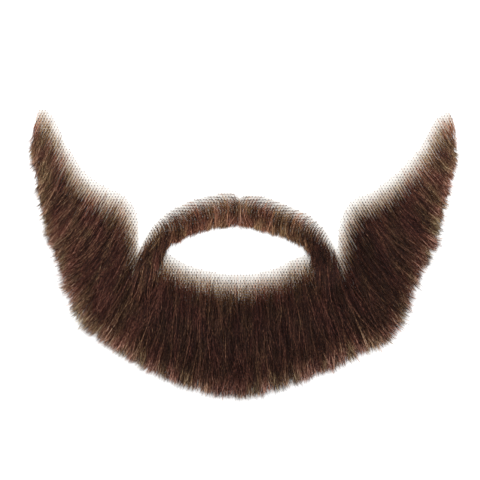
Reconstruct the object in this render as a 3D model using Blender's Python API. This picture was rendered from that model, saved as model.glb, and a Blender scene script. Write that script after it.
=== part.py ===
"""A full fake beard: a lace base with the hair of the moustache, both cheeks and the chin.

It lies flat, hair side up. +X runs to the right and +Y up as the beard is seen from the front,
+Z points out of the lace into the hair. The origin is the middle of its foot print, on the surface.
"""

import math
import random
from collections import namedtuple

import bmesh
import bpy
from mathutils import Vector

MM = 0.001

# Driving sizes, in millimetres.
LACE_THICK = 1.0        # net with its knots and the glued skin edge
LACE_MARGIN = 1.0       # bare lace outside the first row of knots
GAP = 0.3               # clearance between neighbouring solids
ROOT_THICK = 0.7        # hair mass at the first row of knots
FRINGE_CLEAR = 0.3      # underside of the hair past the lace, above the surface
PART_GAP = 0.45         # slit between two hair sections
LOCK_WIDTH = 6.2        # one lock of the beard, measured at the tips
MOUSTACHE_LOCK = 4.2    # one lock of the moustache
LOCK_VARIES = 0.7       # spread of the locks' widths, as a share
LOCK_DEPTH = 0.20       # share of the height lost in the furrow between two locks
LOCK_NOTCH = 0.04       # share of the length lost there
REACH_VARIES = 0.025    # spread of the locks' lengths
HEIGHT_VARIES = 0.14    # spread of their heights
TIER_STEP = 0.7         # height of a step where a short lock ends on a longer one
TIERS = 3               # such steps from root to tip
HAIR_SHINE = 0.42

# One row for each flow line of the beard, from its first knot (root) to its tips, going round from
# the tip of the left wing. bow is how far the line's middle bends away from a straight one, lift how
# high the hair stands over the lace, lace the share of the line that has lace under it. Millimetres.
Flow = namedtuple("Flow", "root_x root_y tip_x tip_y bow lift lace")
BEARD = (
    Flow(-110.5, 77.5, -113.5, 66.0, 0.0, 1.5, 0.60),
    Flow(-105.5, 77.0, -115.5, 52.0, 1.0, 3.0, 0.60),
    Flow(-99.5, 66.5, -113.0, 37.0, 1.5, 4.5, 0.62),
    Flow(-93.0, 54.5, -109.5, 24.0, 2.0, 5.5, 0.64),
    Flow(-84.5, 43.0, -105.5, 9.5, 3.0, 7.0, 0.64),
    Flow(-74.5, 36.0, -100.5, -6.0, 4.0, 8.0, 0.64),
    Flow(-65.0, 31.5, -96.0, -19.0, 5.0, 9.0, 0.64),
    Flow(-58.5, 23.5, -91.0, -31.5, 5.5, 10.0, 0.64),
    Flow(-56.5, 13.5, -84.5, -42.0, 5.0, 10.5, 0.62),
    Flow(-56.0, 3.0, -77.0, -48.0, 4.0, 11.0, 0.60),
    Flow(-50.0, 0.0, -66.5, -55.5, 3.0, 11.5, 0.60),
    Flow(-42.0, 0.5, -54.5, -62.5, 2.0, 12.0, 0.60),
    Flow(-33.0, -4.5, -40.0, -69.5, 1.5, 12.5, 0.58),
    Flow(-21.5, -8.5, -23.5, -75.0, 0.5, 13.0, 0.56),
    Flow(-2.5, -11.5, 0.0, -79.0, 0.0, 13.0, 0.55),
    Flow(16.0, -8.0, 22.0, -72.5, -0.5, 13.0, 0.56),
    Flow(26.5, -3.0, 37.5, -67.5, -1.5, 12.5, 0.58),
    Flow(36.0, 0.0, 53.0, -60.5, -2.0, 12.0, 0.60),
    Flow(43.0, -1.0, 64.0, -54.5, -3.0, 11.5, 0.60),
    Flow(50.0, 2.0, 77.0, -49.5, -4.0, 11.0, 0.60),
    Flow(51.5, 12.5, 85.5, -40.5, -5.0, 10.5, 0.62),
    Flow(54.0, 22.0, 90.5, -29.0, -5.0, 10.0, 0.64),
    Flow(59.5, 29.0, 94.5, -17.0, -4.5, 9.0, 0.64),
    Flow(69.5, 33.5, 100.0, -5.0, -4.0, 8.0, 0.64),
    Flow(79.5, 41.0, 105.0, 8.0, -3.0, 7.0, 0.64),
    Flow(88.5, 49.5, 109.5, 23.5, -2.0, 5.5, 0.64),
    Flow(96.0, 58.5, 113.5, 38.0, -1.5, 4.5, 0.62),
    Flow(103.5, 72.0, 116.0, 52.0, -1.0, 3.0, 0.60),
    Flow(111.0, 76.5, 115.0, 65.0, 0.0, 1.5, 0.60),
)
# The same for the moustache, from its left end over the parting to its right end.
MOUSTACHE = (
    Flow(-55.0, 3.7, -42.5, 1.9, 0.0, 1.2, 0.95),
    Flow(-52.5, 8.5, -40.0, 4.5, 0.0, 3.4, 0.95),
    Flow(-48.5, 14.5, -34.5, 6.5, 0.0, 4.8, 0.74),
    Flow(-41.5, 21.5, -26.5, 10.5, 0.0, 5.2, 0.70),
    Flow(-31.0, 27.5, -16.5, 13.0, 0.0, 5.2, 0.66),
    Flow(-19.5, 31.0, -9.0, 14.0, 0.0, 5.0, 0.64),
    Flow(-7.5, 33.0, -4.5, 14.0, 0.0, 4.4, 0.62),
    Flow(-2.5, 30.0, -2.0, 14.3, 0.0, 3.6, 0.62),
    Flow(3.0, 32.0, 0.5, 14.0, 0.0, 4.4, 0.62),
    Flow(13.5, 30.0, 7.5, 13.0, 0.0, 5.0, 0.64),
    Flow(24.5, 25.5, 16.0, 10.5, 0.0, 5.2, 0.66),
    Flow(34.5, 21.0, 24.5, 7.5, 0.0, 5.2, 0.70),
    Flow(41.5, 15.0, 31.0, 3.7, 0.0, 4.8, 0.74),
    Flow(46.0, 8.4, 35.0, 2.2, 0.0, 3.4, 0.95),
    Flow(49.5, 3.2, 36.5, 1.0, 0.0, 1.2, 0.95),
)
# Rows of BEARD at which the cheeks meet the chin, and the slit there as a share of a row's spread.
RIGHT_CHEEK_END = 9
LEFT_CHEEK_START = len(BEARD) - 1 - RIGHT_CHEEK_END
ROW_SPREAD = 8.5        # between two flow lines' roots there, in millimetres
SLIT = PART_GAP / 2 / ROW_SPREAD

# The lace's outline: points a table row along its edges and along the lip, the rows of BEARD that the
# lip lies between, how far inside its table's ends the arch's edge starts, and the rows left out at
# each end of the mouth opening's upper edge.
EDGE_POINTS = 4
LIP_POINTS = 6
LIP_FIRST, LIP_LAST = 11, 17
ARCH_INSET = 0.5
MOUTH_INSET = 1

# Height of the hair along a flow line: it peaks at PEAK_AT and keeps TIP_SHARE of its lift at the tips.
PEAK_AT = 0.58
TIP_SHARE = 0.14
LACE_LEDGE = 0.03       # share of a flow line by which the hair runs level past the lace's edge
ALL_LACE = 0.9          # from this share up, the lace carries the hair right to its tips
# Where a lock's furrow and crest lie across it, and how near the full height each is.
LOCK_SHAPE = ((0.0, 0.0), (0.32, 1.0), (0.68, 0.85))
FINE_STEPS = 60         # samples in each table row, for measuring along the tips
SMALL_STEP = 0.02       # share of a flow line over which its direction is measured
# Places of a ring's points, as shares of the stretch over the lace and of the free stretch past it.
Steps = namedtuple("Steps", "over_lace past_lace")
BEARD_STEPS = Steps((0.0, 0.1, 0.22, 0.36, 0.52, 0.68, 0.84, 1.0), (0.3, 0.55, 0.8, 1.0))
MOUSTACHE_STEPS = Steps((0.0, 0.2, 0.45, 0.75, 1.0), (0.4, 1.0))


def row_at(rows, place):
    """The row at a fractional place in the table, on a smooth curve through its neighbours."""
    last = len(rows) - 1
    place = min(max(place, 0.0), last)
    index = min(int(place), last - 1)
    u = place - index
    before, here = rows[max(index - 1, 0)], rows[index]
    there, after = rows[index + 1], rows[min(index + 2, last)]
    return Flow(*(
        0.5 * (2 * b + (c - a) * u + (2 * a - 5 * b + 4 * c - d) * u ** 2 + (3 * b - a - 3 * c + d) * u ** 3)
        for a, b, c, d in zip(before, here, there, after)
    ))


def point_on(flow, t):
    """The place on a flow line at share t of its length, in plan."""
    root, tip = Vector((flow.root_x, flow.root_y)), Vector((flow.tip_x, flow.tip_y))
    along = tip - root
    side = Vector((-along.y, along.x)).normalized()
    middle = (root + tip) / 2 + side * flow.bow
    return root * (1 - t) ** 2 + middle * (2 * t * (1 - t)) + tip * t ** 2


def dome(t):
    """Height of the hair at share t of its length, as a share of its lift."""
    if t < PEAK_AT:
        return 1 - (1 - t / PEAK_AT) ** 2
    return 1 - (1 - TIP_SHARE) * ((t - PEAK_AT) / (1 - PEAK_AT)) ** 2


def ring_places(flow, steps, end):
    """Each ring point's share of the flow line, and the height of the hair's underside there."""
    on_lace = LACE_THICK + GAP
    hanging = FRINGE_CLEAR if flow.lace < ALL_LACE else on_lace
    ledge = min(flow.lace, ALL_LACE) + LACE_LEDGE
    over = [(ledge * share, on_lace) for share in steps.over_lace]
    past = [(ledge + (end - ledge) * share, hanging) for share in steps.past_lace]
    return over + past


def lock_places(rows, first, last, lock_width, dice):
    """Places in the table of each lock's furrow and crest, with how near the crest each one is."""
    samples = FINE_STEPS * int(last - first + 1)
    places = [first + (last - first) * i / samples for i in range(samples + 1)]
    tips = [point_on(row_at(rows, p), 1.0) for p in places]
    lengths = [0.0]
    for a, b in zip(tips, tips[1:]):
        lengths.append(lengths[-1] + (b - a).length)
    locks = round(lengths[-1] / lock_width)
    widths = [1.0 + LOCK_VARIES * (dice.random() - 0.5) for _ in range(locks)]
    scale = lengths[-1] / sum(widths)
    found = []
    begun = 0.0
    for lock, width in enumerate(widths):
        for share, crest in LOCK_SHAPE:
            wanted = begun + scale * width * share
            index = next((i for i, s in enumerate(lengths) if s >= wanted), samples)
            found.append((places[index], crest, lock))
        begun += scale * width
    found.append((last, 0.0, locks))
    return found


def hair_section(name, rows, first, last, steps, lock_width, material, seed):
    """A mass of locks fused to their common backing, lofted through one ring of points a place."""
    dice = random.Random(seed)
    places = lock_places(rows, first, last, lock_width, dice)
    locks = places[-1][2] + 1
    phases = [dice.random() for _ in range(locks)]
    reach = [1.0 - REACH_VARIES * dice.random() for _ in range(locks)]
    tall = [1.0 - HEIGHT_VARIES * dice.random() for _ in range(locks)]
    rings = []
    for place, crest, lock in places:
        flow = row_at(rows, place)
        length = reach[lock] * (1 - LOCK_NOTCH * (1 - crest))
        height = tall[lock] * (1 - LOCK_DEPTH * (1 - crest))
        top, bottom = [], []
        for t, low in ring_places(flow, steps, length):
            at = point_on(flow, t)
            tier = (t * TIERS + phases[lock]) % 1.0 - 0.5
            swell = flow.lift * dome(t) * height + TIER_STEP * tier * math.sin(math.pi * t)
            bottom.append((at.x * MM, at.y * MM, low * MM))
            top.append((at.x * MM, at.y * MM, (low + ROOT_THICK + max(swell, 0.0)) * MM))
        rings.append((top, bottom))
    return loft(name, rings, material)


def loft(name, rings, material):
    """A closed solid through rings, each a row of top points over a row of bottom points."""
    mesh = bmesh.new()
    made = [([mesh.verts.new(p) for p in top], [mesh.verts.new(p) for p in low]) for top, low in rings]
    for (top_a, low_a), (top_b, low_b) in zip(made, made[1:]):
        ring_a, ring_b = top_a + low_a[::-1], top_b + low_b[::-1]
        for i in range(len(ring_a)):
            j = (i + 1) % len(ring_a)
            mesh.faces.new((ring_a[i], ring_a[j], ring_b[j], ring_b[i]))
    for top, low in (made[0], made[-1]):
        for i in range(len(top) - 1):
            mesh.faces.new((top[i], top[i + 1], low[i + 1], low[i]))
    bmesh.ops.triangulate(mesh, faces=mesh.faces[:])
    bmesh.ops.recalc_face_normals(mesh, faces=mesh.faces[:])
    data = bpy.data.meshes.new(name)
    mesh.to_mesh(data)
    mesh.free()
    data.shade_smooth()
    data.materials.append(material)
    made_object = bpy.data.objects.new(name, data)
    PARTS.objects.link(made_object)
    return made_object


def line_through(rows, share, first, last, per_row, outward=0.0):
    """Points at one share of every flow line between two rows, moved back along it by outward."""
    points = []
    count = round((last - first) * per_row)
    for i in range(count + 1):
        flow = row_at(rows, first + (last - first) * i / count)
        t = flow.lace if share is None else share
        at = point_on(flow, t)
        ahead = (point_on(flow, t + SMALL_STEP) - at).normalized()
        points.append(at - ahead * outward)
    return points


def lace_base(material):
    """The net, one flat sheet with the mouth opening cut in it."""
    band_end, arch_end = len(BEARD) - 1, len(MOUSTACHE) - 1
    right_edge = line_through(BEARD, 0.0, 0, RIGHT_CHEEK_END, EDGE_POINTS, LACE_MARGIN)
    arch_edge = line_through(MOUSTACHE, 0.0, ARCH_INSET, arch_end - ARCH_INSET, EDGE_POINTS, LACE_MARGIN)
    left_edge = line_through(BEARD, 0.0, LEFT_CHEEK_START, band_end, EDGE_POINTS, LACE_MARGIN)
    hidden_edge = line_through(BEARD, None, 0, band_end, EDGE_POINTS)
    lip_edge = line_through(BEARD, 0.0, LIP_FIRST, LIP_LAST, LIP_POINTS, LACE_MARGIN)
    under_moustache = line_through(MOUSTACHE, None, MOUTH_INSET, arch_end - MOUTH_INSET, EDGE_POINTS)
    outline = right_edge + arch_edge + left_edge + hidden_edge[::-1]
    mouth = lip_edge + under_moustache[::-1]

    curve = bpy.data.curves.new("lace_base", "CURVE")
    curve.dimensions = "2D"
    curve.fill_mode = "BOTH"
    curve.extrude = LACE_THICK * MM / 2
    for points in (outline, mouth):
        spline = curve.splines.new("POLY")
        spline.points.add(len(points) - 1)
        for spot, at in zip(spline.points, points):
            spot.co = (at.x * MM, at.y * MM, 0.0, 1.0)
        spline.use_cyclic_u = True
    curve.materials.append(material)
    sheet = bpy.data.objects.new("lace_base", curve)
    sheet.location.z = LACE_THICK * MM / 2
    PARTS.objects.link(sheet)
    return sheet


def finish_of(name, colour, roughness):
    """A material with its colour, as linear RGB, and its roughness."""
    material = bpy.data.materials.new(name)
    material.use_nodes = True
    shader = material.node_tree.nodes["Principled BSDF"]
    shader.inputs["Base Color"].default_value = (*colour, 1.0)
    shader.inputs["Roughness"].default_value = roughness
    shader.inputs["Metallic"].default_value = 0.0
    return material


for old in list(bpy.data.objects):
    bpy.data.objects.remove(old, do_unlink=True)
PARTS = bpy.data.collections.new("fake_beard")
bpy.context.scene.collection.children.link(PARTS)

dark_hair = finish_of("dark_brown_hair", (0.040, 0.017, 0.010), HAIR_SHINE)
mid_hair = finish_of("brown_hair", (0.075, 0.036, 0.022), HAIR_SHINE)
pale_lace = finish_of("pale_lace", (0.80, 0.74, 0.66), 0.75)

lace_base(pale_lace)

RIGHT_CHEEK_ROWS = (0, RIGHT_CHEEK_END - SLIT)
CHIN_ROWS = (RIGHT_CHEEK_END + SLIT, LEFT_CHEEK_START - SLIT)
LEFT_CHEEK_ROWS = (LEFT_CHEEK_START + SLIT, len(BEARD) - 1)
MOUSTACHE_ROWS = (0, len(MOUSTACHE) - 1)
hair_section("right_cheek_hair", BEARD, *RIGHT_CHEEK_ROWS, BEARD_STEPS, LOCK_WIDTH, mid_hair, seed=11)
hair_section("chin_hair", BEARD, *CHIN_ROWS, BEARD_STEPS, LOCK_WIDTH, dark_hair, seed=12)
hair_section("left_cheek_hair", BEARD, *LEFT_CHEEK_ROWS, BEARD_STEPS, LOCK_WIDTH, mid_hair, seed=13)
hair_section("moustache_hair", MOUSTACHE, *MOUSTACHE_ROWS, MOUSTACHE_STEPS, MOUSTACHE_LOCK, mid_hair, seed=14)
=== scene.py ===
"""A full fake beard lying flat, hair side up: a fine net and the hair that is knotted to it by hand.

Every hair is a mesh of its own, tied to the net at a knot, combed along the flow lines of its table and
cut to the beard's outline. +X runs to the right and +Y up as the beard is seen from the front, so the
wearer's right is at -X.
"""

import math
from collections import namedtuple
from functools import lru_cache

import bmesh
import bpy
import numpy as np
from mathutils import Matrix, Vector
from mathutils.bvhtree import BVHTree
from mathutils.kdtree import KDTree


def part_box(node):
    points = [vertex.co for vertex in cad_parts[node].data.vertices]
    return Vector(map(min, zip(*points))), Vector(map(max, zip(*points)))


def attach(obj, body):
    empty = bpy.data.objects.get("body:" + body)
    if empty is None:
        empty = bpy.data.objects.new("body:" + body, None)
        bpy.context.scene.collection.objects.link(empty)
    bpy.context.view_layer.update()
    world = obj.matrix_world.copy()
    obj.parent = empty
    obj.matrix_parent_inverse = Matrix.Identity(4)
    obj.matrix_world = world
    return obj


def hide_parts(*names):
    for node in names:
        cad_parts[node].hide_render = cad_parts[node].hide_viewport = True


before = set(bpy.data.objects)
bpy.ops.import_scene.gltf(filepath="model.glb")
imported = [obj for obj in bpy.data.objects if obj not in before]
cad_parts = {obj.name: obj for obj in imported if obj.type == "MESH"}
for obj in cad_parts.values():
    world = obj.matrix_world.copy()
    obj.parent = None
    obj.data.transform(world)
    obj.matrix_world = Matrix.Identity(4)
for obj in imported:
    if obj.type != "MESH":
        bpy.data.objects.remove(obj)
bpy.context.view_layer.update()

bl_info = {
    "name": "Fake beard",
    "version": (1, 0, 0),
    "blender": (4, 5, 0),
    "location": "3D View > Sidebar > Beard",
    "description": "Ties a full fake beard to its net, hair by hair",
    "category": "Add Mesh",
}

MM = 0.001

# One row for each flow line of the beard, from its first knot (root) to its tips, going round from the
# tip of the wearer's right wing. bow is how far the line's middle bends away from a straight one, lift how
# high the hair stands over the net, lace the share of the line that has net under it. Millimetres.
Flow = namedtuple("Flow", "root_x root_y tip_x tip_y bow lift lace")
BEARD = (
    Flow(-110.5, 77.5, -113.5, 66.0, 0.0, 1.5, 0.60),
    Flow(-105.5, 77.0, -114.4, 52.0, 1.0, 3.0, 0.60),
    Flow(-99.5, 66.5, -111.4, 37.0, 1.5, 4.5, 0.62),
    Flow(-93.0, 54.5, -109.3, 24.0, 2.0, 5.5, 0.64),
    Flow(-84.5, 43.0, -105.5, 9.5, 3.0, 7.0, 0.64),
    Flow(-74.5, 36.0, -100.5, -6.0, 4.0, 8.0, 0.64),
    Flow(-65.0, 31.5, -96.0, -19.0, 5.0, 9.0, 0.64),
    Flow(-58.5, 23.5, -92.6, -32.0, 5.5, 10.0, 0.64),
    Flow(-56.5, 13.5, -86.0, -42.5, 5.0, 10.5, 0.62),
    Flow(-56.0, 3.0, -76.7, -47.3, 4.0, 11.0, 0.60),
    Flow(-50.0, 0.0, -66.2, -54.7, 3.0, 11.5, 0.60),
    Flow(-42.0, 0.5, -54.2, -61.7, 2.0, 12.0, 0.60),
    Flow(-33.0, -4.5, -39.9, -68.8, 1.5, 12.5, 0.58),
    Flow(-21.5, -8.5, -23.5, -74.7, 0.5, 13.0, 0.56),
    Flow(-2.5, -11.5, 0.0, -78.7, 0.0, 13.0, 0.55),
    Flow(16.0, -8.0, 22.0, -72.5, -0.5, 13.0, 0.56),
    Flow(26.5, -3.0, 37.5, -67.5, -1.5, 12.5, 0.58),
    Flow(36.0, 0.0, 53.0, -60.5, -2.0, 12.0, 0.60),
    Flow(43.0, -1.0, 64.0, -54.5, -3.0, 11.5, 0.60),
    Flow(50.0, 2.0, 77.0, -49.5, -4.0, 11.0, 0.60),
    Flow(51.5, 12.5, 85.5, -40.5, -5.0, 10.5, 0.62),
    Flow(54.0, 22.0, 90.5, -29.0, -5.0, 10.0, 0.64),
    Flow(59.5, 29.0, 94.5, -17.0, -4.5, 9.0, 0.64),
    Flow(69.5, 33.5, 100.0, -5.0, -4.0, 8.0, 0.64),
    Flow(79.5, 41.0, 104.5, 8.0, -3.0, 7.0, 0.64),
    Flow(88.5, 49.5, 108.9, 23.5, -2.0, 5.5, 0.64),
    Flow(96.0, 58.5, 112.4, 38.0, -1.5, 4.5, 0.62),
    Flow(103.5, 72.0, 115.0, 52.0, -1.0, 3.0, 0.60),
    Flow(111.0, 76.5, 114.2, 65.0, 0.0, 1.5, 0.60),
)
# The same for the moustache, from the wearer's right to the left. Its hair starts towards the parting
# and turns straight down; the first and last rows are combed down over the beard.
MOUSTACHE = (
    Flow(-54.5, 3.5, -69.0, -24.0, 0.0, 2.6, 0.30),
    Flow(-52.5, 9.0, -66.0, -30.0, 1.0, 3.4, 0.35),
    Flow(-50.0, 13.5, -60.5, -31.0, 2.0, 4.2, 0.38),
    Flow(-47.0, 17.0, -52.5, -25.0, 2.5, 4.8, 0.42),
    Flow(-44.5, 19.3, -45.0, -9.0, 2.5, 5.0, 0.60),
    Flow(-42.5, 21.0, -41.5, 2.6, 2.5, 5.2, 0.95),
    Flow(-37.5, 24.0, -34.0, 7.2, 3.0, 5.2, 0.74),
    Flow(-31.0, 27.5, -26.0, 10.7, 4.0, 5.2, 0.66),
    Flow(-19.5, 31.0, -16.0, 13.6, 4.0, 5.0, 0.64),
    Flow(-7.5, 33.0, -6.5, 14.4, 3.0, 4.4, 0.62),
    Flow(-4.2, 31.2, -3.8, 14.5, 1.5, 3.8, 0.62),
    Flow(-2.5, 30.0, -2.2, 14.6, 0.0, 4.6, 0.62),
    Flow(-0.8, 30.8, -0.8, 14.4, -1.5, 3.8, 0.62),
    Flow(3.0, 32.0, 2.0, 13.8, -3.0, 4.4, 0.62),
    Flow(13.5, 30.0, 10.0, 12.4, -4.0, 5.0, 0.64),
    Flow(24.5, 25.5, 19.5, 9.7, -4.0, 5.2, 0.66),
    Flow(30.5, 22.5, 27.0, 6.0, -3.5, 5.2, 0.72),
    Flow(36.0, 19.0, 35.2, 0.6, -3.0, 5.2, 0.95),
    Flow(38.5, 16.5, 38.3, -12.0, -2.0, 5.0, 0.60),
    Flow(41.0, 14.0, 41.5, -28.0, -1.0, 4.6, 0.42),
    Flow(44.0, 10.8, 45.5, -35.0, 0.0, 4.0, 0.36),
    Flow(46.5, 7.5, 50.5, -31.0, 0.0, 3.4, 0.32),
    Flow(49.0, 3.2, 56.0, -22.0, 0.0, 2.6, 0.25),
)
# Rows of BEARD at which the cheeks meet the chin.
RIGHT_CHEEK_END = 9
LEFT_CHEEK_START = len(BEARD) - 1 - RIGHT_CHEEK_END
# Height of the hair along a flow line: it peaks at PEAK_AT and keeps TIP_SHARE of its lift at the tips.
PEAK_AT = 0.58
TIP_SHARE = 0.14
ROOT_THICK = 0.8        # height of the hair mass at the first row of knots, mm
NET_TOP = 0.35          # where the hair leaves the net, mm over the surface
THREAD_STEPS = 5        # thirds of a knot row in one straight length of thread
ARCH_MARGIN = 0.08      # how far past its net a line of the moustache still takes knots, as a share of it
ROW_SAMPLES = 24        # samples across each table row, for finding a knot's place
SHARE_SAMPLES = 60      # samples along each flow line


def linear(hex_colour):
    """A hex sRGB colour as linear RGB."""
    parts = [int(hex_colour[i:i + 2], 16) / 255 for i in (1, 3, 5)]
    return tuple(c / 12.92 if c <= 0.04045 else ((c + 0.055) / 1.055) ** 2.4 for c in parts)


def length_size(label, about, default_mm):
    """A size that a user may change, given in millimetres."""
    return bpy.props.FloatProperty(
        name=label, description=about, default=default_mm * MM, min=0.0, unit="LENGTH", subtype="DISTANCE"
    )


def colour(label, about, hex_colour):
    """A colour that a user may change."""
    return bpy.props.FloatVectorProperty(
        name=label, description=about, default=linear(hex_colour), size=3, min=0.0, max=1.0, subtype="COLOR"
    )


class BeardSizes(bpy.types.PropertyGroup):
    """Sizes of the net and the hair."""

    cell: length_size("Knot spacing", "Spacing of the knots in a row, two meshes of the net", 1.6)
    row: length_size("Knot rows", "Spacing of the rows of knots, one mesh of the net", 1.5)
    thread: length_size("Net thread", "Width of the net's flat thread", 0.25)
    knot: length_size("Knot", "Width of the knot of hair round a thread", 0.80)
    hair: length_size("Hair", "Width of a hair in the mass", 0.24)
    beard_hair: length_size("Beard hair", "Longest hair of the beard", 42.0)
    moustache_hair: length_size("Moustache hair", "Longest hair of the moustache", 34.0)
    per_knot: bpy.props.IntProperty(
        name="Density", description="Hairs tied in one knot of the mass", default=6, min=1, max=20
    )


class BeardColours(bpy.types.PropertyGroup):
    """Colours of the net, the hair and the stage."""

    net: colour("Net", "Undyed polyester thread", "#F4EFE6")
    # Painted shade: the tan that the net takes on deeper in, for the shade and reflected hair colour under
    # the hair and the hair wrapped round its threads.
    shaded_net: colour("Shaded net", "Thread that carries dyed hair", "#C39A50")
    darkest: colour("Darkest hair", "Nearly black brown", "#1F0E08")
    plum: colour("Plum hair", "Dark brown with a violet cast", "#321D19")
    brown: colour("Brown hair", "Main colour of the beard", "#452D26")
    chestnut: colour("Chestnut hair", "Reddish brown", "#694A3D")
    golden: colour("Golden hair", "Golden brown", "#92705B")
    pale: colour("Pale hair", "Sun bleached ends and fine hair", "#CDB39B")
    red_tint: colour("Red tint", "Dye that has gone towards red", "#FFDCDC")
    olive_tint: colour("Olive tint", "Dye that has gone towards olive", "#F0F0D6")
    gold_tint: colour("Golden tint", "Fine hair at the edges and the moustache", "#FFE0B8")
    floor: colour("Floor", "White table top", "#F4F4F4")


def rows_at(table, place):
    """The rows at fractional places in a table, on smooth curves through their neighbours."""
    rows = np.array(table, float)
    last = len(rows) - 1
    place = np.clip(np.asarray(place, float), 0, last)
    index = np.minimum(place.astype(int), last - 1)
    u = (place - index)[:, None]
    a, b = rows[np.maximum(index - 1, 0)], rows[index]
    c, d = rows[index + 1], rows[np.minimum(index + 2, last)]
    return 0.5 * (2 * b + (c - a) * u + (2 * a - 5 * b + 4 * c - d) * u**2 + (3 * b - a - 3 * c + d) * u**3)


def plan_points(rows, share):
    """Places on flow lines, in plan: rows is one line each, share is one or more shares of each line."""
    root, tip, bow = rows[:, None, 0:2], rows[:, None, 2:4], rows[:, None, 4:5]
    run = tip - root
    side = np.stack([-run[..., 1], run[..., 0]], -1)
    side /= np.linalg.norm(side, axis=-1, keepdims=True)
    middle = (root + tip) / 2 + side * bow
    t = share[..., None]
    return root * (1 - t) ** 2 + middle * (2 * t * (1 - t)) + tip * t**2


def line_length(rows):
    """How far it is from the root to the tip of each flow line."""
    return np.hypot(rows[:, 2] - rows[:, 0], rows[:, 3] - rows[:, 1])


def dome(share):
    """Height of the hair at a share of its flow line, as a share of its lift."""
    rising = 1 - (1 - share / PEAK_AT) ** 2
    falling = 1 - (1 - TIP_SHARE) * ((share - PEAK_AT) / (1 - PEAK_AT)) ** 2
    return np.maximum(np.where(share < PEAK_AT, rising, falling), 0.0)


@lru_cache(maxsize=None)
def chart(table):
    """A search tree over a table's flow lines, with the place and share of each of its points."""
    last = len(table) - 1
    places, shares = np.meshgrid(
        np.linspace(0, last, last * ROW_SAMPLES + 1), np.linspace(0, 1, SHARE_SAMPLES + 1), indexing="ij"
    )
    places, shares = places.ravel(), shares.ravel()
    points = plan_points(rows_at(table, places), shares[:, None])[:, 0]
    tree = KDTree(len(points))
    for i, (x, y) in enumerate(points):
        tree.insert((x, y, 0.0), i)
    tree.balance()
    return tree, places, shares


def located(table, points):
    """Each point's place and share in a table, and how far it is from the table's flow lines."""
    tree, places, shares = chart(table)
    found = [tree.find((x, y, 0.0))[1:] for x, y in points]
    index = np.array([i for i, _ in found], int)
    return places[index], shares[index], np.array([d for _, d in found])


@lru_cache(maxsize=None)
def lattice(cell, row):
    """Crossings of the net's threads at which a knot may be tied, in millimetres."""
    low, high = (np.array(corner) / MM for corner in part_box("lace_base"))
    lines = range(math.floor(low[1] / row) - 1, math.ceil(high[1] / row) + 2)
    spots = range(math.floor(low[0] / cell) - 1, math.ceil(high[0] / cell) + 2)
    return np.array([
        ((spot + 0.5 + 0.5 * (line % 2)) * cell, line * row)
        for line in lines
        for spot in spots
    ])


@lru_cache(maxsize=None)
def threads(cell, row):
    """The net's threads in short straight lengths, in millimetres, and the way each length slants.

    Only the lengths that lie on the lace are kept.
    """
    low, high = (np.array(corner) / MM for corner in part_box("lace_base"))
    step = row / 3
    y = np.arange(math.floor(low[1] / step), math.ceil(high[1] / step) + 1) * step
    overrun = (high[1] - low[1]) / row
    starts = np.arange(math.floor(2 * low[0] / cell - overrun), math.ceil(2 * high[0] / cell + overrun))
    lengths, slants = [], []
    for slant in (1, -1):
        x = (starts[:, None] + slant * y / row) * cell / 2
        lines = np.stack([x, np.broadcast_to(y, x.shape)], -1)
        inside = on_lace(lines.reshape(-1, 2)).reshape(x.shape)
        for points, on in zip(lines, inside):
            for first, end in np.flatnonzero(np.diff(on, prepend=False, append=False)).reshape(-1, 2):
                stops = [*range(first, end - 1, THREAD_STEPS), end - 1]
                lengths += [points[[a, b]] for a, b in zip(stops, stops[1:])]
                slants += [slant] * (len(stops) - 1)
    if not lengths:
        raise RuntimeError("no thread of the net lies on the lace")
    return np.array(lengths), np.array(slants)


@lru_cache(maxsize=None)
def lace_tree():
    """The lace's solid, for asking whether a place lies on it."""
    return BVHTree.FromObject(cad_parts["lace_base"], bpy.context.evaluated_depsgraph_get())


def on_lace(points):
    """Whether each place in plan, in millimetres, lies on the lace."""
    tree, above = lace_tree(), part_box("lace_base")[1].z + MM
    down = Vector((0, 0, -1))
    return np.array([tree.ray_cast(Vector((x * MM, y * MM, above)), down)[0] is not None for x, y in points])


Knots = namedtuple("Knots", "at in_moustache place share depth")


@lru_cache(maxsize=None)
def knots_of(cell, row):
    """Every knot on the net, where two threads cross, and its place on the flow lines.

    depth is how far behind the first row of knots it lies, in millimetres.
    """
    middles = lattice(cell, row)
    middles = middles[on_lace(middles)]
    if not len(middles):
        raise RuntimeError("no crossing of the net's threads lies on the lace")
    beard, arch = located(BEARD, middles), located(MOUSTACHE, middles)
    arch_lace = rows_at(MOUSTACHE, arch[0])[:, 6]
    in_moustache = (arch[2] < beard[2]) & (arch[1] < arch_lace + ARCH_MARGIN)
    place = np.where(in_moustache, arch[0], beard[0])
    share = np.where(in_moustache, arch[1], beard[1])
    arch_rows = rows_at(MOUSTACHE, np.where(in_moustache, place, 0))
    beard_rows = rows_at(BEARD, np.where(in_moustache, 0, place))
    depth = share * np.where(in_moustache, line_length(arch_rows), line_length(beard_rows))
    return Knots(middles, in_moustache, place, share, depth)


def new_piece(name, points, triangles, material):
    """An object at the origin from arrays of points, in metres, and triangles."""
    mesh = bpy.data.meshes.new(name)
    mesh.vertices.add(len(points))
    mesh.vertices.foreach_set("co", points.astype(np.float32).ravel())
    mesh.loops.add(triangles.size)
    mesh.loops.foreach_set("vertex_index", triangles.astype(np.int32).ravel())
    mesh.polygons.add(len(triangles))
    mesh.polygons.foreach_set("loop_start", np.arange(0, triangles.size, 3, dtype=np.int32))
    mesh.update(calc_edges=True)
    mesh.validate()
    mesh.shade_smooth()
    mesh.materials.append(material)
    piece = bpy.data.objects.new(name, mesh)
    bpy.context.scene.collection.objects.link(piece)
    return piece


def point_attribute(piece, name, values):
    """A number at each vertex, for the material to read."""
    made = piece.data.attributes.new(name, "FLOAT", "POINT")
    made.data.foreach_set("value", np.asarray(values, np.float32).ravel())


Tube = namedtuple("Tube", "ring side up triangles")


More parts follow.
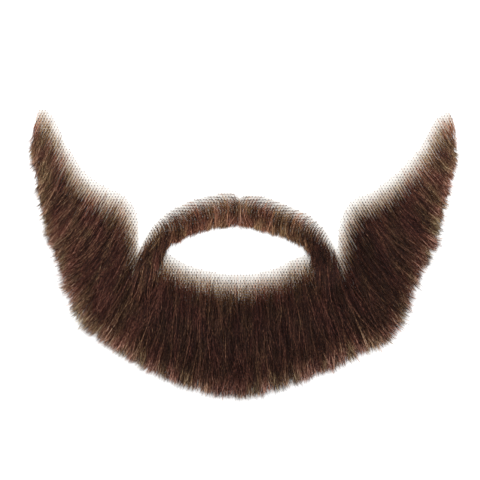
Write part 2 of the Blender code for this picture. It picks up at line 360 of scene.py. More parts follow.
@lru_cache(maxsize=None)
def tube(rings, sides, pointed, capped):
    """One straight length to be repeated: its vertices' rings and directions from the middle, and faces."""
    mesh = bmesh.new()
    bmesh.ops.create_cone(
        mesh, cap_ends=capped, cap_tris=False, segments=sides, radius1=1.0, radius2=1.0, depth=1.0
    )
    for step in range(1, rings - 1):
        everything = mesh.verts[:] + mesh.edges[:] + mesh.faces[:]
        height = step / (rings - 1) - 0.5
        bmesh.ops.bisect_plane(mesh, geom=everything, plane_co=(0, 0, height), plane_no=(0, 0, 1))
    if pointed:
        tip = [v for v in mesh.verts if v.co.z > 0.5 - 0.5 / rings]
        bmesh.ops.pointmerge(mesh, verts=tip, merge_co=(0, 0, 0.5))
    bmesh.ops.triangulate(mesh, faces=mesh.faces[:])
    bmesh.ops.recalc_face_normals(mesh, faces=mesh.faces[:])
    mesh.verts.index_update()
    spots = np.array([v.co for v in mesh.verts])
    triangles = np.array([[v.index for v in face.verts] for face in mesh.faces])
    mesh.free()
    ring = np.rint((spots[:, 2] + 0.5) * (rings - 1)).astype(int)
    return Tube(ring, spots[:, 0], spots[:, 1], triangles)


def tubes_along(shape, paths, radii, turn=None, flatness=1.0):
    """Copies of a tube, one along each path (copies, rings, 3), with a radius at each of its rings.

    turn is how far each is turned about its path, radians, and flatness its height as a share of its width.
    """
    ahead = np.gradient(paths, axis=1)
    ahead /= np.linalg.norm(ahead, axis=-1, keepdims=True) + 1e-12
    side = np.cross(ahead, [0.0, 0.0, 1.0])
    side /= np.linalg.norm(side, axis=-1, keepdims=True) + 1e-12
    up = np.cross(side, ahead)
    angle = np.zeros(len(paths)) if turn is None else turn
    c, s = np.cos(angle)[:, None, None], np.sin(angle)[:, None, None]
    across = shape.side[None, :, None] * c - shape.up[None, :, None] * s
    upward = shape.side[None, :, None] * s + shape.up[None, :, None] * c
    rings = shape.ring
    outward = side[:, rings] * across + up[:, rings] * upward * flatness
    points = paths[:, rings] + radii[:, rings, None] * outward
    first = np.arange(len(paths))[:, None, None] * len(rings)
    return points.reshape(-1, 3), (shape.triangles[None] + first).reshape(-1, 3)


def wander(rng, x, y, length, width):
    """Smooth noise from 0 to 1 over a plane, whose patches are length by width."""
    cells = 64
    grid = rng.random((cells, cells))
    x, y = x / length, y / width
    ix, iy = np.floor(x).astype(int), np.floor(y).astype(int)
    u, v = x - ix, y - iy
    u, v = u * u * (3 - 2 * u), v * v * (3 - 2 * v)

    def corner(i, j):
        return grid[(ix + i) % cells, (iy + j) % cells]

    low = corner(0, 0) * (1 - u) + corner(1, 0) * u
    high = corner(0, 1) * (1 - u) + corner(1, 1) * u
    return low * (1 - v) + high * v


def tip_distance(table):
    """Distance along the tips from the table's first row to each of its samples, with their places."""
    last = len(table) - 1
    places = np.linspace(0, last, last * ROW_SAMPLES + 1)
    tips = plan_points(rows_at(table, places), np.ones((len(places), 1)))[:, 0]
    steps = np.linalg.norm(np.diff(tips, axis=0), axis=1)
    return places, np.concatenate([[0.0], np.cumsum(steps)])


HAIR_RINGS = np.array([0.0, 0.12, 0.34, 0.62, 0.91, 1.0])    # where a hair's rings are, shares of its length
HAIR_TAPER = np.array([1.00, 0.95, 1.00, 1.00, 0.85, 0.0])   # how wide it is there
GROWN_AT = 14.0         # how far behind the first row of knots the hair has its full length, mm
GROWN_POWER = 1.3       # how slowly it starts to be longer; 1 is evenly
FILLED_POWER = 1.25     # how slowly the knots start to hold more hair; 1 is evenly
LENGTHS = (0.62, 1.06)  # range of the hairs' lengths, as shares of the full length
SHORTEST = 3.0          # length that a cut hair keeps at least, mm
CUT_BACK = 1.55         # how far inside the outline the tips are cut, in shares of ragged
LAYERED = 2.0           # where ragged is more than this, mm, the hair is cut in layers
TUFT = 2.4              # width of a tuft at the tips, mm
TUFTS = 400             # tufts that are drawn before they repeat
TUFT_CUT = 0.45         # how unevenly the tufts are cut, in shares of ragged
TUFT_LEAN = 0.20        # how far the tufts lean to either side, radians
STRAY_SHARE = 0.18      # share of the hairs that lie across the others
STRAY_LEAN = 0.10       # how far they do so, radians
FAN = 0.09              # how far the hairs of one of the first knots spread, radians
WAVE = 0.016            # how far a hair waves to the side, as a share of its length
KICK_DEPTH = 8.0        # depth behind the first row over which the kick towards the parting fades, mm
FLICK_FROM = 0.58       # where the tips start to flick, as a share of the hair
FLICK_LONGEST = 30.0    # a longer hair flicks no further than one of this length, mm
PLACE_SPREAD = 0.03     # how far a hair keeps from its knot's flow line, in table rows
ROOT_SPREAD = 0.11      # how far the hairs of a knot start from its middle, mm
# How far these differ from knot to knot and from hair to hair.
CUT_SPREAD = (0.45, 1.0)        # the cut, in shares of ragged
LEAN_SPREAD = (0.03, 0.022)     # the direction, radians
FLICK_SPREAD = (0.12, 0.26)     # the flick of the tips, radians
# Sizes of the patches in which the hair is lighter or darker, or more red or olive, mm.
LOCKS = (2.6, 7.0)
BROAD_LOCKS = (11.0, 22.0)
DYE_PATCHES = (3.6, 6.0)
DYE_SEED = 7            # the dye's patches run on from piece to piece
TYPICAL_LINE = 30.0     # length that a flow line counts as for the locks, mm
LOCK_TONES = 0.08       # how much the tone differs over them
KNOT_TONES = 0.20       # how much it differs from knot to knot
EDGE_FADE = 1.2         # how far the light colour of the thin hair reaches, as a share of full_at
HAIR_FLOOR = 0.03       # lowest that a hair lies over the surface, mm
GLINT_RUN = 900.0       # length of the pattern of glints, of which each hair has its own stretch, mm

# How the hair of one table is cut and combed. fine is the share of the full width that the hair of the
# first knots has; longest in metres; young the share of it that the first knots' hair has; pull how far a
# tuft closes up; thin_light how much lighter the thin hair at the first knots is; contrast how much the
# tones of single hairs differ; tip_fade the share of a flow line over which the tips are bleached. The rest
# is given along the table's rows: gold, how golden the hair is, from 0 to 1; first and full, the hairs in a
# knot of the first row and of the mass; full_at, how far behind the first row it is full, mm; ragged, how
# unevenly the tips are cut, mm; kick, how far the hair starts off towards the parting, mm; shades, how light
# a brown it is, from 0 to 1; and bleached, how much lighter its tips are.
Style = namedtuple(
    "Style",
    "table fine longest young pull thin_light contrast tip_fade "
    "gold first full full_at ragged kick shades bleached",
)
# The hairs of one piece, one entry for each hair: its knot and where its root is; its place in the table,
# with the share and the depth it starts at, its row, how long that flow line is and how deep the edge's thin
# hair goes there; the share it ends at, its length before and after it is cut, mm; and how far along the
# line of the tips it is, mm, with the middle and the lean of its tuft. tied is the number of all the knots.
Hairs = namedtuple(
    "Hairs", "own tied at place share depth row reach full_at end uncut length tip_at tuft_middle tuft_lean"
)


def along(style, place, values):
    """A value that is given along a table's rows, at some places."""
    return np.interp(place, np.linspace(0, len(style.table) - 1, len(values)), values)


def varied(rng, own, tied, spread):
    """A random amount for each hair, the sum of one that its knot has and one of its own."""
    by_knot, by_hair = spread
    return rng.normal(0.0, by_knot, tied)[own] + rng.normal(0.0, by_hair, len(own))


def cut_hairs(style, knots, own, rng, tufts):
    """The hairs that are tied in some knots: each ends at its own length, or where it is cut."""
    count, tied = len(own), len(knots.at)
    place = knots.place[own] + rng.normal(0.0, PLACE_SPREAD, count)
    share, depth = knots.share[own], knots.depth[own]
    at = knots.at[own] + rng.normal(0.0, ROOT_SPREAD, (count, 2))
    row = rows_at(style.table, place)
    reach = line_length(row)

    # The tips close up in tufts, and each tuft is cut and leans in its own way.
    tip_at = np.interp(place, *tip_distance(style.table))
    tuft = np.floor(tip_at / TUFT + rng.uniform(-0.3, 0.3, count)).astype(int) % TUFTS
    tuft_middle = tufts.uniform(0.25, 0.75, TUFTS)[tuft]
    tuft_cut = tufts.normal(0.0, TUFT_CUT, TUFTS)[tuft]
    tuft_lean = tufts.normal(0.0, TUFT_LEAN, TUFTS)[tuft]

    grown = style.young + (1 - style.young) * np.clip(depth / GROWN_AT, 0, 1) ** GROWN_POWER
    uncut = style.longest / MM * grown * rng.uniform(*LENGTHS, count)
    ragged = along(style, place, style.ragged)
    layered = rng.uniform(0.0, 2.0, count)
    cut = CUT_BACK + tuft_cut + varied(rng, own, tied, CUT_SPREAD)
    short = np.where(ragged > LAYERED, layered, cut) * ragged
    end = np.minimum(share + uncut / reach, 1 - short / reach)
    end = np.maximum(end, share + SHORTEST / reach)
    full_at = along(style, place, style.full_at)
    length = (end - share) * reach
    return Hairs(
        own, tied, at, place, share, depth, row, reach, full_at, end, uncut, length,
        tip_at, tuft_middle, tuft_lean,
    )


def lay_out(style, hairs, rng):
    """The hairs in plan at their rings, mm, and the share of its flow line that each ring has come to."""
    count = len(hairs.own)
    s = HAIR_RINGS[None, :]
    t = hairs.share[:, None] + (hairs.end - hairs.share)[:, None] * s
    plan = plan_points(hairs.row, t)
    plan += (hairs.at - plan[:, 0])[:, None] * (1 - s[..., None])
    ahead = np.gradient(plan, axis=1)
    ahead /= np.linalg.norm(ahead, axis=-1, keepdims=True)
    across = np.stack([-ahead[..., 1], ahead[..., 0]], -1)

    stray = rng.random(count) < STRAY_SHARE
    lean = varied(rng, hairs.own, hairs.tied, LEAN_SPREAD) + stray * rng.normal(0.0, STRAY_LEAN, count)
    wave = rng.normal(0.0, WAVE, count) * hairs.length
    flick = hairs.tuft_lean + varied(rng, hairs.own, hairs.tied, FLICK_SPREAD)
    flick *= np.minimum(hairs.length, FLICK_LONGEST)
    thin = np.clip(1 - hairs.depth / hairs.full_at, 0, 1)
    fan = rng.normal(0.0, FAN, count) * thin * hairs.length
    kick = along(style, hairs.place, style.kick) * np.clip(1.3 - hairs.depth / KICK_DEPTH, 0, 1)
    offset = (lean * hairs.length)[:, None] * s**1.5 + wave[:, None] * np.sin(math.tau * 0.8 * s)
    offset += fan[:, None] * s
    offset += kick[:, None] * (1 - (1 - s) ** 8 - s)
    offset += flick[:, None] * np.clip(s - FLICK_FROM, 0, 1) ** 1.5

    middle = (np.floor(hairs.tip_at / TUFT) + hairs.tuft_middle) * TUFT
    tips = [rows_at(style.table, hairs.place + step)[:, 2:4] for step in (0.02, -0.02)]
    tangent = tips[0] - tips[1]
    tangent /= np.linalg.norm(tangent, axis=-1, keepdims=True) + 1e-9
    closing = ((middle - hairs.tip_at) * style.pull)[:, None] * np.clip(t, 0, 1) ** 3 * s
    plan += across * offset[..., None] + tangent[:, None] * closing[..., None]
    return plan, t


def stack_up(style, hairs, t, rng):
    """How high the hairs lie at their rings, mm: hair from further back lies over that in front."""
    lift, lace = hairs.row[:, 5, None], hairs.row[:, 6, None]
    span = np.maximum(style.longest / MM / hairs.reach, 0.2)[:, None]
    oldest = np.maximum(t - span * 0.9, 0.0)
    newest = np.maximum(np.minimum(t, lace), oldest + 0.02)
    over = 1 - (hairs.share[:, None] - oldest) / (newest - oldest)
    over = np.clip(over + rng.normal(0.0, 0.15, len(t))[:, None] * HAIR_RINGS, 0.0, 1.0)
    risen = np.minimum(HAIR_RINGS * hairs.uncut[:, None] / SHORTEST, 1.0)
    height = NET_TOP + (ROOT_THICK + lift * dome(t)) * over * risen
    height -= (NET_TOP - 0.2) * np.clip((t - lace) / np.maximum(1 - lace, 0.01), 0, 1)
    return height


def looks_of(style, hairs, plan, t, rng):
    """What the hair's material reads at each ring: its tone, hue and gold, and its stretch of the glints."""
    count, place = len(hairs.own), hairs.place
    lock = wander(rng, hairs.tip_at, hairs.share * TYPICAL_LINE, *LOCKS)
    broad = wander(rng, hairs.tip_at, hairs.share * TYPICAL_LINE, *BROAD_LOCKS)
    tone = along(style, place, style.shades) + KNOT_TONES * (rng.random(hairs.tied)[hairs.own] - 0.5)
    own_tone = style.contrast * (rng.random(count) - 0.5)
    tone += own_tone + LOCK_TONES * (lock - 0.5) + LOCK_TONES * (broad - 0.5)
    # Painted light: the thin hair at the first knots is made lighter, for the light shining through it as
    # well as fine hair's own paler colour.
    edge = np.clip(1 - t * hairs.reach[:, None] / (EDGE_FADE * hairs.full_at)[:, None], 0, 1)
    edge[:, 0] *= 0.5
    tip = np.clip(1 - (1 - t) / style.tip_fade, 0, 1)
    bleached = along(style, place, style.bleached) * (0.1 + 2.0 * rng.random(count) ** 3)
    tone = tone[:, None] + style.thin_light * edge + bleached[:, None] * tip
    patches = wander(np.random.default_rng(DYE_SEED), plan[..., 0], plan[..., 1], *DYE_PATCHES)
    hue = 0.46 + 1.6 * (patches - 0.5) + 0.12 * (rng.random(count) - 0.5)[:, None]
    run = rng.uniform(0.0, GLINT_RUN, count)[:, None] + hairs.length[:, None] * HAIR_RINGS
    gold = along(style, place, style.gold)[:, None]
    # Painted light: the thin hair at the first knots is also made more golden, for the warm light shining
    # through it.
    gold = gold + 0.8 * (1 - gold) * edge
    return {"tone": tone, "hue": hue, "gold": gold, "run": run}


def comb(style, knots, own, seed):
    """The paths of hairs from knot to tip, in metres, and what their material reads."""
    rng = np.random.default_rng(seed)
    hairs = cut_hairs(style, knots, own, rng, np.random.default_rng(seed + 1))
    plan, t = lay_out(style, hairs, rng)
    height = stack_up(style, hairs, t, rng)
    paths = np.concatenate([plan, height[..., None]], -1) * MM
    return paths, looks_of(style, hairs, plan, t, rng)


def hair_piece(name, style, chosen, seed, over=None):
    """One object of all the hairs tied in the chosen knots; over may lay their paths on something."""
    sizes = bpy.context.scene.beard_sizes
    knots = knots_of(sizes.cell / MM, sizes.row / MM)
    rng = np.random.default_rng(seed)
    fullness = np.clip(knots.depth / along(style, knots.place, style.full_at), 0, 1) ** FILLED_POWER
    first, full = along(style, knots.place, style.first), along(style, knots.place, style.full)
    wanted = (first + (full - first) * fullness)[chosen]
    hairs = np.floor(wanted + rng.random(len(wanted))).astype(int)
    own = np.repeat(np.flatnonzero(chosen), hairs)
    if not len(own):
        raise RuntimeError(f"{name} has no knot to tie hair in")
    paths, looks = comb(style, knots, own, seed)
    if over is not None:
        paths = over(paths)
    width = (style.fine + (1 - style.fine) * fullness[own]) * (0.75 + 0.85 * rng.random(len(own)) ** 2)
    shape = tube(len(HAIR_RINGS), 3, True, True)
    radii = sizes.hair / 2 * width[:, None] * HAIR_TAPER
    points, triangles = tubes_along(shape, paths, radii, rng.uniform(0, math.tau, len(own)))
    points[:, 2] = np.maximum(points[:, 2], HAIR_FLOOR * MM)
    piece = new_piece(name, points, triangles, human_hair())
    for look, values in looks.items():
        point_attribute(piece, look, values[:, shape.ring])
    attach(piece, "root")
    return piece


def over_the_beard(paths):
    """Lays hairs that are combed over the beard on it, with their tips in among its hair."""
    flat = paths.reshape(-1, 3)
    place, share, away = located(BEARD, flat[:, :2] / MM)
    top = ROOT_THICK + rows_at(BEARD, place)[:, 5] * dome(share)
    sunk = np.tile(np.interp(HAIR_RINGS, [0.0, 0.4, 1.0], [1.0, 0.95, 0.72]), len(paths))
    rest = (NET_TOP + top * sunk) * np.clip(1.5 - away, 0, 1) * MM
    flat[:, 2] = np.maximum(flat[:, 2], rest)
    return flat.reshape(paths.shape)


def add_node(tree, kind, settings=None, inputs=None):
    """A new node with its settings; an input is a value, or another node's output to link."""
    made = tree.nodes.new(kind)
    for name, value in (settings or {}).items():
        setattr(made, name, value)
    for key, value in (inputs or {}).items():
        if isinstance(value, bpy.types.NodeSocket):
            tree.links.new(value, made.inputs[key])
        else:
            made.inputs[key].default_value = value
    return made


def new_material(name):
    """An empty node material with its output, ready for a shader."""
    material = bpy.data.materials.new(name)
    material.use_nodes = True
    tree = material.node_tree
    tree.nodes.clear()
    return material, tree, add_node(tree, "ShaderNodeOutputMaterial")


@lru_cache(maxsize=None)
def human_hair():
    """Dyed human hair, cut and combed: satin, with a long soft highlight, and no two hairs of one brown."""
    colours = bpy.context.scene.beard_colours
    material, tree, output = new_material("dyed_human_hair")
    # Each hair brings its own tone, hue and gold, and run, its stretch of the pattern of glints.
    tone = add_node(tree, "ShaderNodeAttribute", {"attribute_name": "tone"})
    run = add_node(tree, "ShaderNodeAttribute", {"attribute_name": "run"})
    # Painted glints: each hair's tone turns lighter and darker by turns along it, about every 1.5 mm, for
    # the light that its flat sides catch, as a hair isn't round.
    turns = add_node(
        tree, "ShaderNodeTexNoise", {"noise_dimensions": "1D"},
        {"W": run.outputs["Fac"], "Scale": 1 / 1.5, "Detail": 1.0},
    )
    glint = add_node(
        tree, "ShaderNodeMapRange",
        inputs={
            "Value": turns.outputs["Fac"], "From Min": 0.3, "From Max": 0.7,
            "To Min": -0.19, "To Max": 0.19,
        },
    )
    glinting = add_node(
        tree, "ShaderNodeMath", {"operation": "ADD"}, {0: tone.outputs["Fac"], 1: glint.outputs["Result"]}
    )
    ramp = add_node(tree, "ShaderNodeValToRGB", inputs={"Fac": glinting.outputs[0]})
    stops = (
        (0.08, colours.darkest), (0.22, colours.plum), (0.36, colours.brown),
        (0.54, colours.chestnut), (0.74, colours.golden), (1.00, colours.pale),
    )
    band = ramp.color_ramp
    while len(band.elements) < len(stops):
        band.elements.new(1.0)
    for element, (place, shade) in zip(band.elements, stops):
        element.position = place
        element.color = (*shade, 1.0)
    hue = add_node(tree, "ShaderNodeAttribute", {"attribute_name": "hue"})
    tint = add_node(
        tree, "ShaderNodeMix", {"data_type": "RGBA"},
        {0: hue.outputs["Fac"], 6: (*colours.red_tint, 1.0), 7: (*colours.olive_tint, 1.0)},
    )
    dyed = add_node(
        tree, "ShaderNodeMix", {"data_type": "RGBA", "blend_type": "MULTIPLY"},
        {0: 1.0, 6: ramp.outputs["Color"], 7: tint.outputs[2]},
    )
    gold = add_node(tree, "ShaderNodeAttribute", {"attribute_name": "gold"})
    golden = add_node(
        tree, "ShaderNodeMix", {"data_type": "RGBA", "blend_type": "MULTIPLY"},
        {0: gold.outputs["Fac"], 6: dyed.outputs[2], 7: (*colours.gold_tint, 1.0)},
    )
    place = add_node(tree, "ShaderNodeTexCoord")
    # Cuticle scales and dust, drawn at 0.3 mm because the real ones are too fine to show.
    scales = add_node(
        tree, "ShaderNodeTexNoise",
        inputs={"Vector": place.outputs["Object"], "Scale": 1 / (0.3 * MM), "Detail": 2.0},
    )
    rough = add_node(
        tree, "ShaderNodeMapRange", inputs={"Value": scales.outputs["Fac"], "To Min": 0.36, "To Max": 0.56}
    )
    bump = add_node(
        tree, "ShaderNodeBump",
        inputs={"Height": scales.outputs["Fac"], "Strength": 0.25, "Distance": 0.02 * MM},
    )
    shader = add_node(
        tree, "ShaderNodeBsdfPrincipled",
        inputs={
            "Base Color": golden.outputs[2], "Roughness": rough.outputs["Result"], "IOR": 1.55,
            "Specular IOR Level": 0.12, "Normal": bump.outputs["Normal"],
        },
    )
    tree.links.new(shader.outputs["BSDF"], output.inputs["Surface"])
    return material


@lru_cache(maxsize=None)
def net_thread():
    """Woven polyester net of flat yarn, pale and slightly glossy; tan deeper in, for the hair wrapped round
    it and painted shade.
    """
    colours = bpy.context.scene.beard_colours
    material, tree, output = new_material("polyester_net_thread")
    place = add_node(tree, "ShaderNodeTexCoord")
    # The yarn's filaments, drawn at 0.25 mm because the real ones are too fine to show.
    twist = add_node(
        tree, "ShaderNodeTexNoise",
        inputs={"Vector": place.outputs["Object"], "Scale": 1 / (0.25 * MM), "Detail": 1.0},
    )
    # Painted shade: the first threads are pale; further in they are tan, painted for the shade and the
    # hair-coloured light under the hair, and for the hair wrapped round them.
    shade_under_hair = add_node(tree, "ShaderNodeAttribute", {"attribute_name": "shade_under_hair"})
    net_shade = add_node(
        tree, "ShaderNodeMix", {"data_type": "RGBA"},
        {0: shade_under_hair.outputs["Fac"], 6: (*colours.net, 1.0), 7: (*colours.shaded_net, 1.0)},
    )
    worn = add_node(
        tree, "ShaderNodeMapRange", inputs={"Value": twist.outputs["Fac"], "To Min": 0.85, "To Max": 1.0}
    )
    shade = add_node(
        tree, "ShaderNodeVectorMath", {"operation": "SCALE"},
        {0: net_shade.outputs[2], "Scale": worn.outputs["Result"]},
    )
    bump = add_node(
        tree, "ShaderNodeBump",
        inputs={"Height": twist.outputs["Fac"], "Strength": 0.3, "Distance": 0.03 * MM},
    )
    rough = add_node(
        tree, "ShaderNodeMapRange", inputs={"Value": twist.outputs["Fac"], "To Min": 0.45, "To Max": 0.65}
    )
    shader = add_node(
        tree, "ShaderNodeBsdfPrincipled",
        inputs={
            "Base Color": shade.outputs["Vector"], "Roughness": rough.outputs["Result"],
            "Specular IOR Level": 0.2, "Normal": bump.outputs["Normal"],
        },
    )
    tree.links.new(shader.outputs["BSDF"], output.inputs["Surface"])
    return material


YARN_FLAT = 0.27        # how flat the net's yarn is pressed
UNDER_AT = 0.10         # height of the threads that slant one way, in widths of the thread
OVER_AT = 0.34          # height of those that cross over them
UNSHADED_TO = 1.2          # how far behind the first row of knots the net is pale, without painted shade, mm
SHADED_AT = 6.5        # how far behind it the net is wholly tan with painted shade, mm


class BEARD_OT_net(bpy.types.Operator):
    """Lay the fine slanting net that the hair is tied to, cut to the lace's outline"""

    bl_idname = "beard.net"
    bl_label = "Net"

    def execute(self, context):
        sizes = context.scene.beard_sizes
        cell, row, width = sizes.cell / MM, sizes.row / MM, sizes.thread / MM
        lengths, slants = threads(cell, row)
        height = np.where(slants > 0, UNDER_AT * width, OVER_AT * width)
        height = np.broadcast_to(height[:, None, None], (len(lengths), 2, 1))
        paths = np.concatenate([lengths, height], -1) * MM
        radii = np.full(paths.shape[:2], sizes.thread / math.sqrt(3))
        shape = tube(2, 3, False, False)
        points, triangles = tubes_along(shape, paths, radii, flatness=YARN_FLAT)
        piece = new_piece("lace_net", points, triangles, net_thread())
        knots = knots_of(cell, row)
        tree = KDTree(len(knots.at))
        for i, (x, y) in enumerate(knots.at):
            tree.insert((x, y, 0.0), i)
        tree.balance()
        near = np.array([[tree.find((x, y, 0.0))[1] for x, y in ends] for ends in lengths])
        # Painted shade: the net turns tan behind the first rows of knots, where the hair shades it and
        # reflects its colour onto it.
        shade_under_hair = np.interp(knots.depth[near], [UNSHADED_TO, SHADED_AT], [0.0, 1.0])
        point_attribute(piece, "shade_under_hair", shade_under_hair[:, shape.ring])
        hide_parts("lace_base")
        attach(piece, "root")
        return {"FINISHED"}


KNOT_SHAPE = (0.9, 1.1, 0.7)    # across and along the hair, and in height, as shares of its width
KNOT_HEIGHT = 0.42      # height of its middle over the surface, mm
KNOT_FLOOR = 0.02       # lowest that it reaches, mm
ARCH_QUICKER = 1.6      # how much quicker the moustache's knots change behind its first row
KNOT_GOLD = 0.45        # how golden the knots are, from 0 to 1


class BEARD_OT_knots(bpy.types.Operator):
    """Tie the knots that hold the hair to the net"""

    bl_idname = "beard.knots"
    bl_label = "Knots"

    def execute(self, context):
        sizes = context.scene.beard_sizes
        knots = knots_of(sizes.cell / MM, sizes.row / MM)
        mesh = bmesh.new()
        bmesh.ops.create_uvsphere(mesh, u_segments=6, v_segments=2, radius=sizes.knot / 2)
        bmesh.ops.scale(mesh, vec=KNOT_SHAPE, verts=mesh.verts[:])
        bmesh.ops.triangulate(mesh, faces=mesh.faces[:])
        mesh.verts.index_update()
        one = np.array([v.co for v in mesh.verts])
        faces = np.array([[v.index for v in face.verts] for face in mesh.faces])
        mesh.free()
        rng = np.random.default_rng(3)
        count = len(knots.at)
        # The first knots hold one or two fine hairs, so they are small and light.
        inward = knots.depth * np.where(knots.in_moustache, ARCH_QUICKER, 1.0)
        size = np.interp(inward, [0.0, 4.0], [0.60, 1.0]) * rng.uniform(0.85, 1.12, count)
        tone = np.interp(inward, [0.0, 1.5, 4.5], [0.58, 0.42, 0.16]) + rng.uniform(-0.08, 0.08, count)
        centre = np.concatenate([knots.at, np.full((count, 1), KNOT_HEIGHT)], 1) * MM
        points = (centre[:, None] + one[None] * size[:, None, None]).reshape(-1, 3)
        points[:, 2] = np.maximum(points[:, 2], KNOT_FLOOR * MM)
        triangles = (faces[None] + np.arange(count)[:, None, None] * len(one)).reshape(-1, 3)
        piece = new_piece("hair_knots", points, triangles, human_hair())
        point_attribute(piece, "tone", np.repeat(tone, len(one)))
        # Each knot's stretch of the painted glints.
        point_attribute(piece, "run", np.repeat(rng.uniform(0.0, GLINT_RUN, count), len(one)))
        point_attribute(piece, "gold", np.full(len(points), KNOT_GOLD))
        point_attribute(piece, "hue", np.full(len(points), 0.5))
        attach(piece, "root")
        return {"FINISHED"}


class BEARD_OT_moustache(bpy.types.Operator):
    """Tie and comb the moustache's hair"""

    bl_idname = "beard.moustache"
    bl_label = "Moustache"

    def execute(self, context):
        sizes = context.scene.beard_sizes
        knots = knots_of(sizes.cell / MM, sizes.row / MM)
        style = Style(
            MOUSTACHE, fine=0.62, longest=sizes.moustache_hair, young=0.38, pull=0.1, thin_light=0.44,
            contrast=0.84, tip_fade=0.45, gold=(0.05, 0.1, 0.4, 0.4, 0.0, 0.4, 0.35, 0.15, 0.05),
            first=(
                1.6, 2, 2.4, 3, 2.9, 2.6, 2, 1.1, 1, 1, 1.3, 1,
                1.3, 1.4, 1.5, 1.7, 2.4, 3, 3.5, 3.5, 3, 2.4, 1.8,
            ),
            full=(7, 8, 8, 8, 8, 8, 8, 8, 8, 8, 6, 9, 6, 8, 8, 8, 8, 8, 8, 8, 8, 8, 7),
            full_at=(9, 8, 7.5, 8.5, 7.5, 6, 6),
            ragged=(
                12, 12, 12, 10, 8, 0.7, 0.6, 0.6, 0.6, 0.6, 0.6, 0.6,
                0.6, 0.6, 0.6, 0.6, 0.6, 0.7, 8, 10, 12, 12, 12,
            ),
            kick=(
                0, 1, 2, 2.6, 2.6, 2.6, 2.6, 2.6, 2.8, 3.6, 3, 0,
                -3, -3.6, -2.8, -2.6, -2.6, -2.6, -2.6, -2.6, -2, -1, 0,
            ),
            shades=(
                0.25, 0.23, 0.23, 0.25, 0.28, 0.32, 0.33, 0.37, 0.42, 0.37, 0.33, 1.70,
                0.31, 0.41, 0.42, 0.41, 0.37, 0.29, 0.18, 0.13, 0.12, 0.12, 0.16,
            ),
            bleached=(
                0, 0, 0, 0, 0.2, 0.6, 0.6, 0.6, 0.6, 0.6, 0.3, 0.8,
                0.3, 0.6, 0.6, 0.6, 0.6, 0.6, 0.2, 0, 0, 0, 0,
            ),
        )
        piece = hair_piece("moustache_strands", style, knots.in_moustache, 31, over_the_beard)
        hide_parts("moustache_hair")
        return {"FINISHED"}


def beard_style(per_knot, longest):
    """How the cheeks and the chin are cut and combed."""
    return Style(
        BEARD, fine=0.46, longest=longest, young=0.13, pull=0.32, thin_light=0.55,
        contrast=0.63, tip_fade=0.19, gold=(0, 0),
        first=(1.3, 0.9, 0.4, 0.3, 0.7, 0.8, 0.8, 0.7, 0.5, 0.4, 0.5, 0.9, 1.3),
        full=(per_knot, per_knot), full_at=(11, 11, 13, 13, 14, 13, 11, 9.5, 10),
        ragged=(1.1, 1.2, 1.2, 1.1, 1.0, 1.3, 1.8, 1.15, 1.05), kick=(0, 0),
        shades=(0.60, 0.50, 0.44, 0.35, 0.32, 0.31, 0.24, 0.21, 0.22, 0.24, 0.22, 0.23, 0.33, 0.50, 0.64),
        bleached=(0.7, 0.7, 0.7, 0.9, 1.0, 0.9, 0.8, 0.85, 0.9, 1.2, 1.2, 1.0, 1.1, 1.2, 1.1),
    )


CHEEK_SHARE = 0.85      # longest hair of the cheeks, as a share of the chin's


class BEARD_OT_cheeks(bpy.types.Operator):
    """Tie and comb the hair of both cheek wings"""

    bl_idname = "beard.cheeks"
    bl_label = "Cheeks"

    def execute(self, context):
        sizes = context.scene.beard_sizes
        knots = knots_of(sizes.cell / MM, sizes.row / MM)
        style = beard_style(sizes.per_knot, sizes.beard_hair * CHEEK_SHARE)
        for side, chosen, seed in (
            ("right", knots.place < RIGHT_CHEEK_END, 41),
            ("left", knots.place > LEFT_CHEEK_START, 43),
        ):
            piece = hair_piece(f"{side}_cheek_strands", style, chosen & ~knots.in_moustache, seed)
            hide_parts(f"{side}_cheek_hair")
        return {"FINISHED"}


class BEARD_OT_chin(bpy.types.Operator):
    """Tie and comb the chin's hair, in two halves"""

    bl_idname = "beard.chin"
    bl_label = "Chin"

    def execute(self, context):
        sizes = context.scene.beard_sizes
        knots = knots_of(sizes.cell / MM, sizes.row / MM)
        style = beard_style(sizes.per_knot, sizes.beard_hair)
        chin = (knots.place >= RIGHT_CHEEK_END) & (knots.place <= LEFT_CHEEK_START) & ~knots.in_moustache
        middle = (RIGHT_CHEEK_END + LEFT_CHEEK_START) / 2
        for side, chosen, seed in (("right", knots.place < middle, 51), ("left", knots.place >= middle, 53)):
            piece = hair_piece(f"chin_strands_{side}", style, chin & chosen, seed)
            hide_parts("chin_hair")
        return {"FINISHED"}


CAMERA_HEIGHT = 1.6     # metres over the table
VIEW_WIDTH = 258.0      # what the picture takes in from side to side, mm
VIEW_CENTRE = (-1.9, 8.3)       # the point it looks down on, mm
FLOOR_SIZE = 2.5        # half of its side, metres


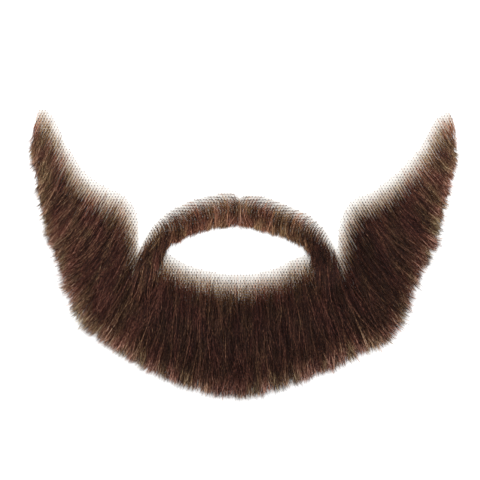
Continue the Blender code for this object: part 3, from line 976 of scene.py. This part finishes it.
class BEARD_OT_stage(bpy.types.Operator):
    """Set up the white table, the soft lights and the camera straight above"""

    bl_idname = "beard.stage"
    bl_label = "Stage"

    def execute(self, context):
        scene = context.scene
        mesh = bmesh.new()
        bmesh.ops.create_grid(mesh, x_segments=1, y_segments=1, size=FLOOR_SIZE)
        data = bpy.data.meshes.new("floor")
        mesh.to_mesh(data)
        mesh.free()
        material, tree, output = new_material("white_table")
        shader = add_node(
            tree, "ShaderNodeBsdfPrincipled",
            inputs={
                "Base Color": (*scene.beard_colours.floor, 1.0), "Roughness": 0.9,
                "Specular IOR Level": 0.1,
            },
        )
        tree.links.new(shader.outputs["BSDF"], output.inputs["Surface"])
        data.materials.append(material)
        floor = bpy.data.objects.new("floor", data)
        scene.collection.objects.link(floor)

        world = bpy.data.worlds.new("soft_daylight")
        world.use_nodes = True
        sky = world.node_tree.nodes["Background"]
        sky.inputs["Color"].default_value = (1.0, 1.0, 1.0, 1.0)
        sky.inputs["Strength"].default_value = 1.0
        scene.world = world

        for name, place, size, power in (
            ("overhead_softbox", (0.0, 0.9, 1.9), 1.0, 22.0),
            ("front_fill", (-0.8, -1.4, 1.2), 1.2, 8.0),
        ):
            light = bpy.data.lights.new(name, "AREA")
            light.size = size
            light.energy = power
            lamp = bpy.data.objects.new(name, light)
            lamp.location = place
            lamp.rotation_euler = (-Vector(place)).to_track_quat("-Z", "Y").to_euler()
            scene.collection.objects.link(lamp)

        lens = bpy.data.cameras.new("camera")
        lens.sensor_width = 36.0
        lens.lens = lens.sensor_width * CAMERA_HEIGHT / (VIEW_WIDTH * MM)
        camera = bpy.data.objects.new("camera", lens)
        camera.location = (VIEW_CENTRE[0] * MM, VIEW_CENTRE[1] * MM, CAMERA_HEIGHT)
        scene.collection.objects.link(camera)
        scene.camera = camera
        scene.view_settings.view_transform = "Standard"
        return {"FINISHED"}


OPERATORS = (
    BEARD_OT_stage, BEARD_OT_net, BEARD_OT_knots, BEARD_OT_moustache, BEARD_OT_cheeks, BEARD_OT_chin,
)


class VIEW3D_PT_beard(bpy.types.Panel):
    """Lists the beard's pieces, sizes and colours"""

    bl_label = "Fake beard"
    bl_space_type = "VIEW_3D"
    bl_region_type = "UI"
    bl_category = "Beard"

    def draw(self, context):
        for operator in OPERATORS:
            self.layout.operator(operator.bl_idname)
        for group in (context.scene.beard_sizes, context.scene.beard_colours):
            box = self.layout.box()
            for name in group.bl_rna.properties.keys():
                if name not in {"rna_type", "name"}:
                    box.prop(group, name)


CLASSES = (BeardSizes, BeardColours, *OPERATORS, VIEW3D_PT_beard)


def register():
    """Adds the sizes, the colours, the operators and the panel."""
    for made in CLASSES:
        bpy.utils.register_class(made)
    bpy.types.Scene.beard_sizes = bpy.props.PointerProperty(type=BeardSizes)
    bpy.types.Scene.beard_colours = bpy.props.PointerProperty(type=BeardColours)


def unregister():
    """Takes them away again."""
    del bpy.types.Scene.beard_colours
    del bpy.types.Scene.beard_sizes
    for made in reversed(CLASSES):
        bpy.utils.unregister_class(made)


def main():
    """Makes the stage and every piece."""
    register()
    bpy.ops.beard.stage()
    bpy.ops.beard.net()
    bpy.ops.beard.knots()
    bpy.ops.beard.moustache()
    bpy.ops.beard.cheeks()
    bpy.ops.beard.chin()


if __name__ == "__main__":
    main()
